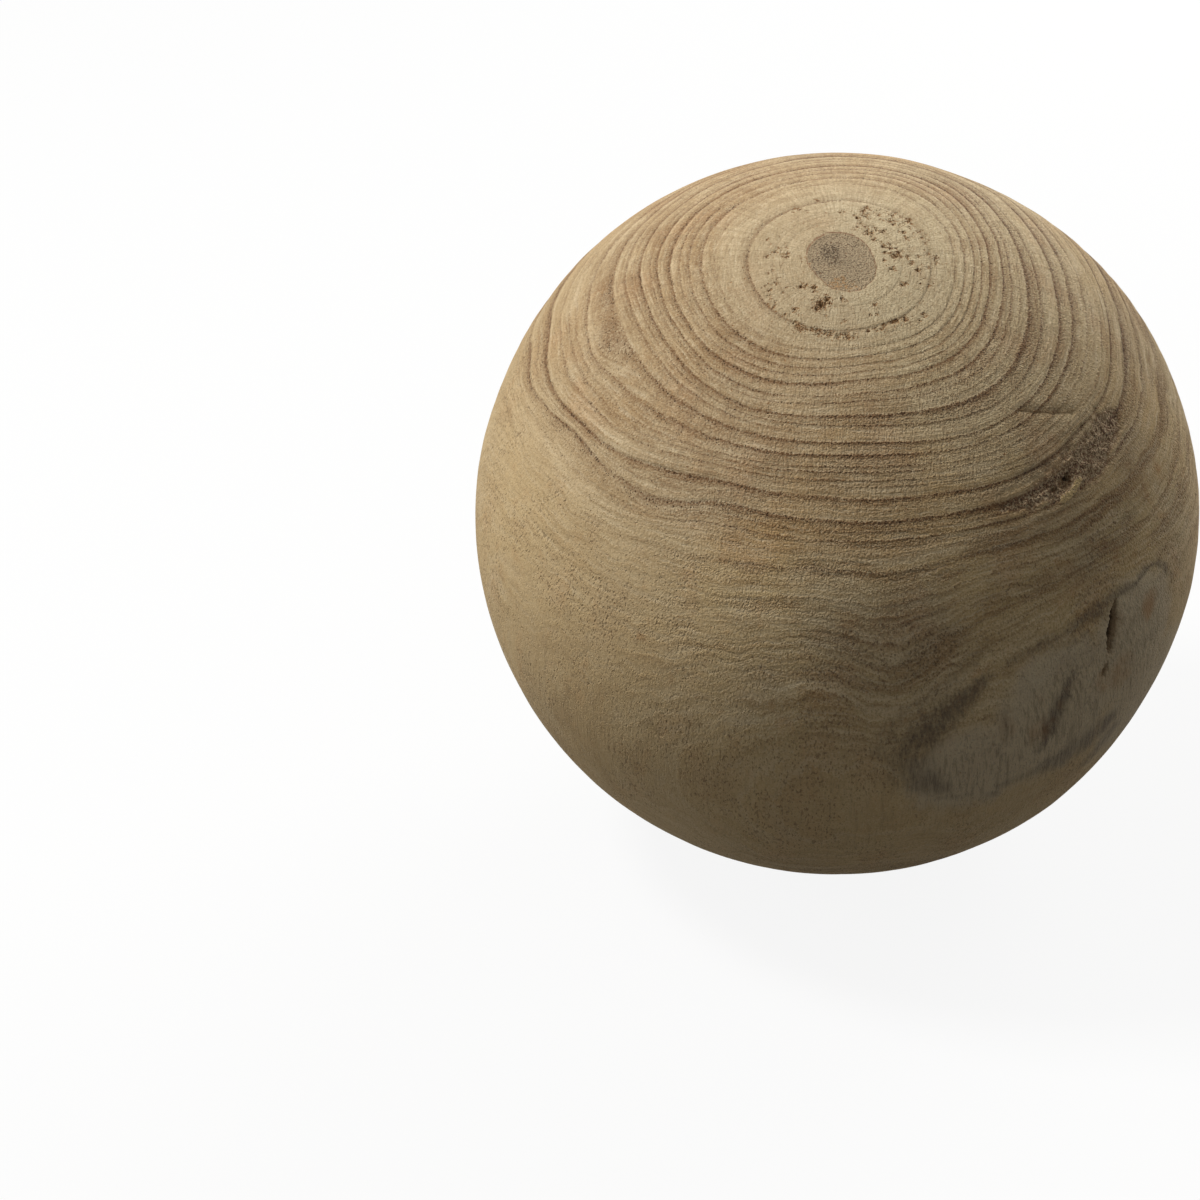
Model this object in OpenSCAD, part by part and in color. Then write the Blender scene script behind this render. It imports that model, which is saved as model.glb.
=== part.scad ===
// Turned wooden ball: one solid piece of soft, light hardwood, turned so that
// the pith of the log comes out near the top and, unseen, near the underside.
// The ball's centre is the origin and +Z is up as the ball lies. The pith leans
// to the front (-Y). The growth rings stand round it as fine grooves, because
// the soft early wood sands away deeper than the hard late wood.
// A place on the ball is given in degrees: a turn from the front to the right
// and a height above the middle, or a turn round the pith and a lean from it.

/* [Ball] */
// Diameter of the turned ball
ball_d = 150; // [100:1:220]
// Depth that sanding took off the low right side
low_flat = 0.6; // [0.1:0.05:1.5]
// Depth that sanding took off the high back side
high_flat = 0.4; // [0.1:0.05:1.5]
// Depth that sanding took off the left side
left_flat = 0.5; // [0.1:0.05:1.5]

/* [Pith] */
// Lean of the pith from upright towards the front
pith_lean = 21.4; // [0:0.2:45]
// Width of the pith across
pith_w = 14; // [8:0.5:20]
// Length of the pith from front to back
pith_l = 16.5; // [14:0.5:24]
// Depth of the soft pith below the wood
pith_sink = 0.4; // [0.2:0.05:1]

/* [Growth rings] */
// Distance from the pith axis to the first grooved ring, at the front
first_ring = 17; // [14:0.5:24]
// Mean distance from one grooved ring to the next, at the front
ring_step = 3.4; // [2.8:0.1:10]
// Width of a ring groove
ring_w = 1.1; // [0.5:0.05:1.3]
// Depth of a ring groove
ring_depth = 0.25; // [0.1:0.05:0.4]
// Share by which the rings stand wider towards the back
back_growth = 0.2; // [0:0.01:0.3]
// Share by which the rings stand wider towards the left
left_growth = 0.06; // [0:0.01:0.12]

/* [Torn pores] */
// Number of pores torn out of the wood beside and behind the pith
pore_count = 34; // [1:1:60]
// Width of the largest of these pores
pore_w = 1.7; // [0.8:0.1:2.4]
// Width of the torn pit in front of the pith
pit_w = 3; // [1.2:0.1:4]
// Number of pores torn out of the first ring at the front
row_count = 9; // [1:1:16]
// Width of a pore in the first ring
row_pore_w = 1.5; // [0.8:0.1:2]
// Number of nicks in the left flank
nick_count = 4; // [1:1:8]
// Width of a nick
nick_w = 1.2; // [0.6:0.1:2]

/* [Knot] */
// Turn of the knot's middle round the pith
knot_turn = 54; // [0:1:359]
// Lean of the knot's middle from the pith
knot_lean = 46.5; // [30:0.5:80]
// Length of the rough knot, along the rings
knot_l = 33; // [16:0.5:44]
// Width of the knot at its widest
knot_w = 8; // [4:0.2:12]
// Depth of the knot's torn floor
knot_depth = 1.2; // [0.4:0.1:2.5]
// Width of the hole where the knot's heart broke out
hole_w = 3.2; // [1.4:0.1:5]
// Depth of that hole
hole_depth = 3.5; // [3:0.1:8]

/* [Drying checks] */
// Length of the main check, along the grain
check_l = 13; // [5:0.5:24]
// Width of the main check at its middle
check_w = 2.6; // [1:0.1:4]
// Depth of the main check
check_depth = 4; // [1:0.2:10]
// Length of the short check under the main one
short_check_l = 3.5; // [2:0.1:8]
// Width of the short check at its middle
short_check_w = 1.3; // [0.6:0.1:1.8]
// Depth of the short check
short_check_depth = 2; // [0.6:0.1:6]

/* [Hidden] */
$fn = 96;
wood = "#b59d76";
ball_r = ball_d / 2;
slack = 1;

// A sanding flat is the near side of a larger sphere
flat_r = ball_r * 1.12;
low_flat_at = [74, -26];
high_flat_at = [140, 54];
left_flat_at = [-102, 21];

// Grooves reach this share of the radius, where the rings run along the surface
ring_reach = 0.86;
ring_count = floor((ring_reach * ball_r - first_ring) / ring_step) + 1;
// No ring lies further than this share of a step from its even place
ring_wander = 0.2;
most_rings = 80;
ring_shift = rands(-ring_wander, ring_wander, most_rings, 7);

// Torn pores lie in a band round the pith, from its right side to its back
bite_fn = 24;
deep_share = 0.4;
pore_turns = [72, 185];
pore_band = [1.5, 12];
pore_least = 0.45;
pore_seed = 11;
row_turns = [-34, 6];
pit_turns = [-26, -16];
nicks_from = [-30, -7.5];
nicks_to = [-27, -10.5];

// The knot is a row of overlapping bites that bows away from the pith
knot_bites = 9;
knot_bow = 3;
knot_least = 0.45;
knot_rough = rands(0.75, 1.1, knot_bites, 5);
hole_floor = 0.4;

// The checks open one under the other, low on the right
check_at = [46.8, 4.6];
check_gap = 2.5;
check_roll = -6;

// Radius of the sphere or circle that bites w wide and d deep
function bite_r(w, d) = (w * w / 4 + d * d) / (2 * d);

// Distance of ring i from the pith axis, at the front
function ring_at(i) = first_ring + (i + ring_shift[i]) * ring_step;

// Lean from the pith at which the surface lies this far from the pith axis
function lean_at(away) = asin(away / ball_r);

// Puts a shape on the surface, with its own +Z outwards and its +Y up
module on_side(turn, height) {
    rotate([0, 0, turn]) rotate([90 - height, 0, 0]) translate([0, 0, ball_r]) children();
}

// Leans a shape with the pith, so that its +Z runs up the pith
module along_pith() {
    rotate([pith_lean, 0, 0]) children();
}

// Puts a shape on the surface by its turn round the pith and its lean from it
module round_pith(turn, lean) {
    along_pith() on_side(turn, 90 - lean) children();
}

// A round bite, w wide and d deep
module bite(w, d) {
    translate([0, 0, bite_r(w, d) - d]) sphere(r = bite_r(w, d), $fn = bite_fn);
}

module sanding_flat(at, depth) {
    on_side(at[0], at[1]) translate([0, 0, -depth - flat_r]) sphere(r = flat_r);
}

// The ball as it left the lathe and the sanding
module turned_blank() {
    intersection() {
        sphere(r = ball_r);
        sanding_flat(low_flat_at, low_flat);
        sanding_flat(high_flat_at, high_flat);
        sanding_flat(left_flat_at, left_flat);
    }
}

// The pith end: an oval with its soft tissue a little below the wood
module pith_sinking() {
    straight = pith_l - pith_w;
    difference() {
        union() {
            for (end = [-1, 1]) {
                translate([0, end * straight / 2, 0]) cylinder(d = pith_w, h = ball_r + slack);
            }
            translate([-pith_w / 2, -straight / 2, 0]) cube([pith_w, straight, ball_r + slack]);
        }
        sphere(r = ball_r - pith_sink);
    }
}

// A ring's groove is equally deep all round, so its axis runs through the
// ball's centre, and leans back and left where the wood grew faster
module ring_groove(away) {
    lean = lean_at(away);
    opening = lean * (1 + back_growth);
    reach = ball_r - ring_depth + bite_r(ring_w, ring_depth);
    rotate([-lean * back_growth, -lean * left_growth, 0]) rotate_extrude()
        translate([reach * sin(opening), reach * cos(opening)])
            circle(r = bite_r(ring_w, ring_depth), $fn = bite_fn);
}

// Pith and rings run through the log, so they come out above and below
module end_grain() {
    pith_sinking();
    for (i = [0 : ring_count - 1]) {
        ring_groove(ring_at(i));
    }
}

// Pores that the lathe tool tore out beside and behind the pith
module torn_pores() {
    turns = rands(pore_turns[0], pore_turns[1], pore_count, pore_seed);
    aways = rands(pore_band[0], pore_band[1], pore_count, pore_seed + 1);
    widths = rands(pore_least * pore_w, pore_w, pore_count, pore_seed + 2);
    for (i = [0 : pore_count - 1]) {
        round_pith(turns[i], lean_at(pith_l / 2 + aways[i])) bite(widths[i], widths[i] * deep_share);
    }
    for (turn = pit_turns) {
        round_pith(turn, lean_at(pith_l / 2 + pit_w)) bite(pit_w * 0.7, pit_w * deep_share);
    }
}

// Pores torn out of the first ring at the front
module torn_row() {
    gap = (row_turns[1] - row_turns[0]) / row_count;
    for (i = [0 : row_count - 1]) {
        round_pith(row_turns[0] + (i + 0.5) * gap, lean_at(ring_at(0)))
            bite(row_pore_w, row_pore_w * deep_share);
    }
}

// Nicks in a slanting row on the left flank
module flank_nicks() {
    step = (nicks_to - nicks_from) / nick_count;
    for (i = [0 : nick_count - 1]) {
        at = nicks_from + (i + 0.5) * step;
        on_side(at[0], at[1]) bite(nick_w, nick_w * deep_share);
    }
}

// The rough knot, widest past its middle, with the hole of its heart
module knot() {
    span = knot_l / (2 * PI * ball_r * sin(knot_lean)) * 360;
    for (i = [0 : knot_bites - 1]) {
        t = i / (knot_bites - 1);
        fullness = knot_least + (1 - knot_least) * sin(180 * pow(t, 0.8));
        lean = knot_lean - knot_bow * (1 - sin(180 * t));
        round_pith(knot_turn + (t - 0.5) * span, lean)
            bite(knot_w * fullness, knot_depth * fullness * knot_rough[i]);
    }
    round_pith(knot_turn, knot_lean) translate([0, 0, -hole_depth])
        cylinder(d1 = hole_w * hole_floor, d2 = hole_w, h = hole_depth + slack, $fn = 32);
}

// A check in plan is the lens where two circles overlap, pointed at both ends
module check_lens(l, w, d) {
    lens_r = (l * l + w * w) / (4 * w);
    translate([0, 0, -d]) linear_extrude(d + slack) intersection() {
        translate([lens_r - w / 2, 0]) circle(r = lens_r);
        translate([w / 2 - lens_r, 0]) circle(r = lens_r);
    }
}

module drying_checks() {
    on_side(check_at[0], check_at[1]) rotate([0, 0, check_roll]) {
        check_lens(check_l, check_w, check_depth);
        translate([0, -check_l / 2 - check_gap - short_check_l / 2, 0])
            check_lens(short_check_l, short_check_w, short_check_depth);
    }
}

module ball() {
    color(wood) difference() {
        turned_blank();
        along_pith() end_grain();
        along_pith() mirror([0, 0, 1]) end_grain();
        torn_pores();
        torn_row();
        flank_nicks();
        knot();
        drying_checks();
    }
}

ball();
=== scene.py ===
"""A wooden ball, turned from one piece of natural paulownia, with the pith of the log near its top.

The ball is built in the log's own frame, in millimetres, with +Z up the pith. Its rows of vertices
follow the growth rings, so that the grooves of the rings are real. It is then leaned with the pith
and set in the ball's frame, in metres. A place on it is a turn, from the front to the right, and
a lean from the pith, or a height above the ball's middle, all in degrees.
"""
import random
from math import asin, atan2, ceil, cos, degrees, exp, hypot, radians, sin, sqrt, tau

import bmesh
import bpy
from mathutils import Matrix, Vector, kdtree
from mathutils.noise import noise

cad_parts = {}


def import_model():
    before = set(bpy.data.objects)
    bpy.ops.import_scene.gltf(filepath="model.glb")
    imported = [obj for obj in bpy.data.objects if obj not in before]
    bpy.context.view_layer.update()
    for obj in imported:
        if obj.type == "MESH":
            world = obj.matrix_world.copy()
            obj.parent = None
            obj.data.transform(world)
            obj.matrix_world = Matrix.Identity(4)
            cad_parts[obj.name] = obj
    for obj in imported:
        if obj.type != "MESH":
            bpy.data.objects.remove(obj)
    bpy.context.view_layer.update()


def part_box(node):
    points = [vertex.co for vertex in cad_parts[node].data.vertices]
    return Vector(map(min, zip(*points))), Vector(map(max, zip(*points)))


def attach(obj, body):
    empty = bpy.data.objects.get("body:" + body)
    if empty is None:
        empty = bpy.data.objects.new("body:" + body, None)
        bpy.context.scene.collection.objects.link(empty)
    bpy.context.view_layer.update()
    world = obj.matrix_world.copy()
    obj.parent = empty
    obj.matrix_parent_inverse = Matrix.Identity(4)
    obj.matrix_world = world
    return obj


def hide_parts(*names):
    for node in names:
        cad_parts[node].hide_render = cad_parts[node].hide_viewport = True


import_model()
ball_low, ball_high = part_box("ball")

MM = 0.001
BALL_R = round((ball_high.z - ball_low.z) / 2 / MM, 1)
PITH_LEAN = 21.4
PITH_AXIS_TURN = Matrix.Rotation(radians(PITH_LEAN), 4, "X")

# ---------------------------------------------------------------- growth rings

# The tree grew more on some sides: waves round the pith, share of growth, side of the crest
OVAL_MEAN = 0.173
OVAL_WAVES = ((1, 0.186, -160.5), (2, 0.021, -18.7), (3, 0.023, 30), (4, 0.035, 56.5))
# Near the pith the rings are still nearly round, and from here on they are fully oval
ROUND_UNTIL, OVAL_FROM, ROUND_SHARE = 9, 26, 0.15

# Local swells that push the rings out or in: turn, its spread, growth, its spread, push in mm
SWELLS = (
    (65, 46, 35, 4, 2.8), (25, 34, 45, 9, 1.4), (-74, 59, 37, 4, -3.7), (-77, 39, 42, 7, 3.8),
    (-30, 23, 50, 8, -3.4), (89, 56, 43, 4, 4.6), (-53, 49, 68, 11, -2.9), (85, 23, 57, 12, 4.8),
    (11, 10, 65, 8, 4.2), (50, 22, 68, 5, -3.7), (-120, 60, 22, 14, 0.6), (134, 29, 38, 14, -2.9),
    (-72, 38, 32, 4, -0.9), (-62, 24, 25, 4, 0.5), (-55, 20, 45, 4, -0.8), (-96, 7, 46, 2, -0.8),
    (-60, 36, 45.5, 3, 0.6), (-86, 6, 50, 2.5, 0.8), (-64, 9, 50, 2.5, -1.0), (-38, 9, 50.5, 3, 1.6),
)
# Small waves of every ring: how many to a radian, how far they run on in mm of growth, and their
# size in mm; and the growths where they start and where they are full
RING_WAVES = ((3.1, 9, 0.35), (13, 5, 0.16))
WAVES_FROM, WAVES_ALL = 12, 40
# The rings part round the knot: its growth and turn, how far round it they move, and by how much
KNOT_RING, KNOT_TURN, KNOT_SPREADS, KNOT_PUSH = 49.3, 55, (4.5, 13), 0.2

# Each ring's growth in mm, how dark it is at the left, at the front and at the right, and its width
RINGS = (
    (10.9, 0.35, 0.25, 0.40, 0.7), (12.6, 0.35, 0.05, 0.15, 0.6), (16.2, 0.80, 0.55, 0.55, 0.9),
    (18.4, 0.15, 0.25, 0.10, 0.9), (20.4, 0.45, 0.50, 0.60, 0.9), (22.1, 0.90, 0.75, 0.75, 1.0),
    (23.8, 0.80, 0.70, 0.80, 0.9), (25.2, 0.70, 0.75, 0.80, 0.7), (26.8, 1.00, 1.00, 1.10, 1.2),
    (29.2, 0.95, 0.55, 1.00, 1.0), (30.5, 0.60, 0.80, 0.70, 0.8), (31.7, 0.20, 0.30, 0.40, 0.6),
    (32.8, 1.00, 1.15, 1.10, 1.3), (34.5, 0.60, 0.85, 0.70, 0.8), (35.9, 0.75, 0.25, 0.10, 0.8),
    (37.6, 0.85, 1.00, 0.90, 1.1), (39.4, 0.80, 1.10, 0.85, 1.0), (40.9, 0.50, 0.85, 0.55, 0.6),
    (41.6, 0.60, 0.90, 0.40, 0.6), (42.7, 0.60, 0.80, 0.50, 0.7), (43.6, 0.30, 0.60, 0.50, 0.7),
    (45.7, 1.05, 1.00, 1.00, 2.0), (48.0, 0.50, 0.35, 0.30, 1.2), (49.8, 0.90, 1.20, 1.15, 1.8),
    (51.3, 0.50, 0.80, 0.55, 0.9), (52.6, 0.45, 0.85, 0.85, 1.0), (54.2, 0.25, 0.45, 0.35, 1.0),
    (56.2, 0.30, 0.80, 0.50, 1.4), (57.9, 0.15, 0.45, 0.30, 1.1), (59.4, 0.15, 0.45, 0.35, 1.1),
    (61.3, 0.15, 0.45, 0.30, 1.2), (63.0, 0.10, 0.35, 0.30, 1.2), (64.8, 0.10, 0.35, 0.35, 1.3),
    (66.4, 0.05, 0.30, 0.35, 1.3), (68.1, 0.05, 0.30, 0.35, 1.3), (69.9, 0.05, 0.25, 0.35, 1.4),
    (71.6, 0.05, 0.20, 0.30, 1.4), (73.4, 0.05, 0.20, 0.30, 1.4),
)
# How soon from the front a ring has its full tone of the left or right side
SIDE_SPREAD = 1.6
# For finding the growth at a distance: the oval at first, how steeply it may widen, and the rounds
GUESSED_OVAL, OVAL_SLOPE, GROWTH_MENDS = 1.1, 1.25, 7


def ease(value, start, end):
    """0 before start, 1 after end, and smooth between them."""
    t = min(max((value - start) / (end - start), 0), 1)
    return t * t * (3 - 2 * t)


def bell(value, spread):
    return exp(-(value / spread) ** 2)


def turn_gap(a, b):
    """Degrees from turn b to turn a, the short way round."""
    return (a - b + 180) % 360 - 180


def oval(turn, swollen):
    """How much further than at the front the wood of that growth lies at this turn, as a factor."""
    share = OVAL_MEAN
    for waves, growth_share, crest in OVAL_WAVES:
        share += growth_share * cos(radians(waves * (turn - crest)))
    return 1 + share * (ROUND_SHARE + (1 - ROUND_SHARE) * ease(swollen, ROUND_UNTIL, OVAL_FROM))


def swell(turn, growth):
    """The push in mm of the local swells, and of the small waves that every ring has."""
    push = 0
    for at, spread, ring, ring_spread, size in SWELLS:
        push += size * bell(turn_gap(turn, at), spread) * bell(growth - ring, ring_spread)
    off = growth - KNOT_RING
    across, along = KNOT_SPREADS
    push += KNOT_PUSH * off * bell(off, across) * bell(turn_gap(turn, KNOT_TURN), along)
    round_the_pith = Vector((sin(radians(turn)), cos(radians(turn)), 0))
    waves = sum(size * noise(round_the_pith * many + Vector((0, 0, growth / run)))
                for many, run, size in RING_WAVES)
    return push + waves * ease(growth, WAVES_FROM, WAVES_ALL)


def reach_of(turn, growth):
    """Distance in mm from the pith axis at which the wood of that growth lies."""
    swollen = growth + swell(turn, growth)
    return swollen * oval(turn, swollen)


def growth_at(turn, reach):
    """Growth of the wood at that distance from the pith axis, from a first guess that is mended."""
    growth = reach / GUESSED_OVAL
    for _ in range(GROWTH_MENDS):
        growth += (reach - reach_of(turn, growth)) / OVAL_SLOPE
    return growth


# ---------------------------------------------------------------- marks on the ball

# The pith's outline, as a mean reach with waves round it (waves, mm, side of the crest), how far it
# sank and how ragged its rim is
PITH_R, PITH_WAVES = 7.12, ((1, 0.76, -137), (2, 1.05, 25))
PITH_SINK, PITH_RAGGED = 0.3, 0.35
# Dark pits in the pith, and torn fibres: turn, distance from the axis, half width, strength
PITH_PITS = (
    (-140, 4.4, 3.4, 1), (-118, 2.8, 2.6, 0.9), (-100, 5.2, 1.8, 0.8), (-60, 5.6, 1, 0.9),
    (-75, 5.9, 0.8, 0.8), (165, 5.4, 1.6, 0.5), (-100, 6.2, 0.9, 0.7), (30, 5, 1.2, 0.5),
)
PITH_FIBRES = (
    (-14, 5.6, 1.8, 1), (-8, 4.4, 1.6, 0.9), (8, 6, 1.5, 0.9), (22, 6.4, 1, 0.8),
    (95, 5.6, 0.6, 0.6), (-88, 7, 0.6, 0.7), (-100, 7.4, 0.6, 0.8),
)

# Pores and pits torn out of the end grain: turn, distance from the axis, width in mm
TORN_PORES = (
    (-21, 11.2, 2.6), (-18, 9.8, 1.7), (-23, 12.5, 1.5), (-14, 10.6, 1), (-53, 10.1, 1.3),
    (-50, 9.5, 0.9), (-41, 8.6, 1.2), (-36, 9.2, 0.8), (-38, 14.6, 1.1), (-35, 14.9, 0.9),
    (-13, 13.6, 0.7), (2, 14.1, 0.6), (-1, 9.2, 1), (4, 9.6, 0.7), (-103, 11.3, 1),
    (-99, 11, 0.8), (-104, 13.9, 0.9), (-109, 13.7, 0.7), (-84, 13.8, 0.6), (-116, 16.7, 0.8),
    (-163, 20.2, 1.1), (-150, 18.9, 1.1), (-146, 18.6, 0.7), (-153, 17, 0.8), (-175, 15, 0.9),
    (-178, 15.4, 1), (171, 13.5, 1.1), (173, 14.2, 0.8), (167, 17.4, 1.2), (168, 16.3, 0.9),
    (166, 14.7, 1), (157, 16.3, 0.9), (150, 19.1, 0.8), (154, 9.7, 1.4), (151, 10.2, 1.1),
    (147, 15.8, 1.3), (143, 15.4, 0.9), (142, 8.8, 1), (140, 19, 1.3), (137, 18.4, 0.8),
    (132, 14.9, 1.1), (128, 14.4, 0.8), (124, 9, 1.3), (125, 10.4, 1.1), (119, 9.8, 1),
    (114, 8.4, 1), (107, 10.3, 1.7), (104, 9.8, 1.1), (110, 11, 1), (103, 12.3, 1),
    (99, 7.6, 0.9), (97, 13.1, 1), (95, 12.6, 0.7), (89, 14.1, 1.3), (85, 9.2, 1.3),
    (68, 12, 1.2), (71, 12.6, 0.7), (55, 18.8, 1.2), (50, 19.1, 0.7), (43, 17.3, 1.4),
    (36, 16.6, 1.3), (38, 16.7, 1.2), (34, 16.5, 0.9), (29, 16.6, 1), (17, 16.8, 0.9),
    (31, 11.8, 0.9), (28, 13.9, 0.7), (23, 13.6, 0.6), (100, 17.6, 0.8), (104, 18.2, 0.7),
)
# Fields of finer pores: turns, distances from the axis, how many, and their widths
PORE_FIELDS = (
    ((98, 172), (8.8, 18.5), 105, (0.5, 1)),
    ((-30, 9), (16.8, 17.8), 60, (0.6, 1.2)),
    ((-62, -30), (16.2, 17.2), 22, (0.5, 0.8)),
    ((9, 48), (16.4, 17.4), 9, (0.4, 0.8)),
    ((-125, -48), (12, 16.4), 26, (0.4, 0.7)),
    ((60, 100), (11, 18), 12, (0.4, 0.7)),
)
PORE_DEPTH_SHARE = 0.33

# Nicks in the flank: turn from the front, height, width, depth
NICKS = (
    (-34.1, 10.9, 1, 0.8), (-29.3, 5.4, 1.1, 0.4), (-29.9, -7.4, 1.3, 0.9), (-28.4, -8.9, 1.2, 0.8),
    (-27.6, -10, 1.1, 0.8), (-26.9, -10.7, 1, 0.7), (-16.7, 20, 1, 0.5), (20.9, 19.4, 1.2, 0.4),
)

# The knot's centre line: turn and lean from the pith, half width in mm
KNOT_LINE = ((37, 44.6, 0.8), (42, 45.2, 1.9), (48, 46, 3), (54, 46.6, 4), (60, 46.8, 4.6),
             (65, 46.9, 4.8), (70, 47, 4), (74, 47.2, 2.2))
KNOT_DEPTH = 0.7
# Its hole, and the two hollows that widen it: turn and lean from the pith, width, depth
KNOT_HOLES = ((54.2, 46.6, 2.0, 2.2), (52.7, 46.8, 3.8, 0.88), (49.7, 46.5, 1.6, 1.1))
# The chip that still stands beside the hole: its line, half width and rise
CHIP_LINE, CHIP_W, CHIP_LIFT = ((50.2, 48.5), (52.6, 48.6), (56.0, 48.1)), 1.1, 0.9

# Drying checks: turn from the front, height, roll, length, width, depth
CHECKS = (
    (47, 4.2, -8, 12.6, 3, 3.6),
    (45.9, -3, -14, 3.6, 1.4, 1.6),
    (38.6, -2.2, -24, 4.2, 1.2, 0.7),
    (36.8, -7.6, -20, 13, 2.4, 0.5),
)
# The scratch above the knot: its two ends, turn and lean from the pith, width and depth
SCRATCH = ((55.2, 34.6), (66.0, 40.6), 1.4, 0.5)

# Stains, as soft spots: turn from the front, height, half width, half height, roll, strength
GREY_SPOTS = (
    (53, -1, 13, 13, 20, 1), (38, -8, 14, 15, 25, 1), (24, -15, 13, 11, 10, 0.9),
    (60, -14, 16, 14, 0, 0.8),
)
RUST_SPOTS = (
    (56.3, 4.2, 3, 3.4, 0, 0.9), (50, -5, 4.5, 5, 0, 0.7), (46.2, -4.6, 2.6, 4, 0, 0.6),
    (47.5, 3, 2.6, 7, -8, 0.5), (34, -10, 4, 5, 0, 0.5), (28, -7.5, 3, 5, 0, 0.5),
    (60, 33, 4, 5, 0, 0.45), (70, 33, 2, 5, 0, 0.5), (55, 36, 5, 2, 20, 0.3),
    (-16.5, 20.3, 2, 0.8, 0, 0.7), (-29, 5.6, 1.4, 1, 0, 0.9), (-23, 2, 4, 2, 0, 0.35),
    (5, 20, 16, 4, 0, 0.3), (5, 12, 13, 5, 0, 0.45), (61, 24, 8, 8, 0, 0.5),
    (-6, 14, 9, 3, 0, 0.4), (47, 15, 20, 6, 0, 0.5),
    (-48, -4, 9, 8, 0, 0.35), (-60, 2, 8, 6, 0, 0.4), (10, -16, 4, 3, 0, 0.3),
)
# Dark stains, and some painted shade, as strokes: strength, then turn from the front, height and
# half width in mm of points
DIRT_AND_SHADE_STROKES = (
    # The border that the grey stain left as it dried
    (0.9, (64.6, 2, 0.6), (63.8, 5, 0.9), (61.7, 8, 1), (59.8, 9.5, 1.1), (57, 10.3, 0.8),
     (54.4, 9.9, 1.1), (52.6, 8.9, 1)),
    (0.8, (52.6, 8.9, 1.2), (50, 9.2, 1.6), (48, 9.4, 1.9), (45.9, 9, 2.2), (43, 8, 2.2),
     (40, 7.2, 1.8)),
    (0.6, (40, 7.2, 1.8), (36, 6.6, 1.6), (33, 6.1, 1.9), (30.7, 5.2, 1.6), (27, 4.2, 1.4)),
    # The broad smudge in front of it
    (0.95, (24, 2.6, 1.4), (21.4, 0.6, 2.6), (18.6, -2, 4.2), (16, -4.4, 5),
     (13.6, -7, 4.6)),
    (0.75, (13.6, -7, 5), (12.6, -9.8, 6), (13, -12.8, 6), (15.6, -15.6, 4.8),
     (18.6, -17.8, 3)),
    (0.5, (8, -9, 3), (10, -4, 3.6), (15, 0.6, 3.2), (20, 4.6, 2.4), (24, 8, 1.6)),
    (0.5, (18, -20, 1), (22, -20.4, 1.4), (25, -20.6, 0.8)),
    (0.8, (28, -21, 1.2), (28.4, -22, 1.4)),
    # A brown streak and two paler ones
    (1, (38.8, -1, 1.1), (37.9, -4, 2.1), (36.9, -7.1, 3), (36.2, -10, 2.8),
     (35.4, -14, 1.3)),
    (0.6, (27, -4, 0.8), (28, -8, 1.6), (27.3, -12.5, 1)),
    (0.35, (33.4, -3, 1.2), (32.6, -8, 1.8), (32, -13, 1.2)),
    # Dark grain low at the right
    (0.85, (51, -14.2, 2.6), (48, -15.6, 4.4), (44.7, -17, 5), (41, -18, 4.4),
     (37, -18.4, 2.8)),
    (0.75, (53.6, -18, 3), (51.5, -21, 4), (49.5, -23.4, 2.6)),
    (0.6, (37, -18.2, 2), (33, -19.4, 2.2), (29, -20, 1.6)),
    # Dull wood in front, and over and beside the knot, where part of it is painted shade
    (0.42, (-2, 11.5, 7), (6, 12, 9), (14, 13, 8)),
    (0.45, (42, 16, 6), (50, 19, 8), (57, 23, 8), (62, 27, 7)),
    # Dull wood along the knot's upper edge, with the painted shadow that this edge casts
    (0.4, (58.4, 33, 1.6), (55.6, 34.2, 2.4), (51.5, 35, 2.4), (48, 34.8, 2), (45, 33.7, 1.6),
     (42.6, 32.2, 1.2)),
    # The same further left: dull wood and the painted shadow of the knot's upper edge
    (0.5, (40, 32, 0.8), (37, 32.4, 1.4), (33.7, 31.4, 1.6), (30.6, 30.6, 1.4),
     (27.5, 29.4, 0.8)),
    # Painted shade along the scratch
    (0.5, (38, 40.1, 0.8), (42, 39.5, 1.1), (46, 38.4, 0.9)),
)

# What each vertex notes for the wood's finish: mm of growth, mm cut deep, the pith's middle to its
# rim as 0 to 1, and how much of the knot, of crumbled wood, of grey, of dirt with some painted shade
# and of rust there is
MEASURES = ("growth", "cavity", "pith_reach", "knot", "crumbs", "grey", "dirt_and_shade", "rust")

# Sanding flats: turn from the front, height, depth; the larger sphere that they follow; and how
# their edges blend in, in mm squared, with what that takes off the ball beside them, in mm
FLATS = ((74, -26, 0.6), (140, 54, 0.4), (-102, 21, 0.5))
FLAT_R = BALL_R * 1.12
FLAT_BLEND, FLAT_REST = 0.004, 0.03


def side(turn, height):
    """Direction in the ball's frame, from a turn from the front and a height above the middle."""
    turn, height = radians(turn), radians(height)
    level = cos(height)
    return Vector((sin(turn) * level, -cos(turn) * level, sin(height)))


def from_pith(turn, lean):
    """Direction in the log's frame, from a turn round the pith and a lean from it."""
    return side(turn, 90 - lean)


def lean_of(reach):
    """Lean from the pith at a distance in mm from its axis."""
    return degrees(asin(min(reach / BALL_R, 1)))


def to_log(direction):
    """A direction of the ball's frame in the log's frame."""
    return PITH_AXIS_TURN.inverted().to_3x3() @ direction


def add_object(name, data):
    obj = bpy.data.objects.new(name, data)
    bpy.context.scene.collection.objects.link(obj)
    return obj


def add_mesh(name, bm):
    mesh = bpy.data.meshes.new(name)
    bm.to_mesh(mesh)
    bm.free()
    return add_object(name, mesh)


def tangent_frame(direction, roll=0):
    """Right and up along the surface at a direction of the ball's frame, in the log's frame."""
    right = Vector((0, 0, 1)).cross(direction).normalized()
    up = direction.cross(right)
    turned = radians(roll)
    across = right * cos(turned) + up * sin(turned)
    return to_log(across), to_log(direction.cross(across))


# ---------------------------------------------------------------- the blank and its rows

SEGMENTS = 256
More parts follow.
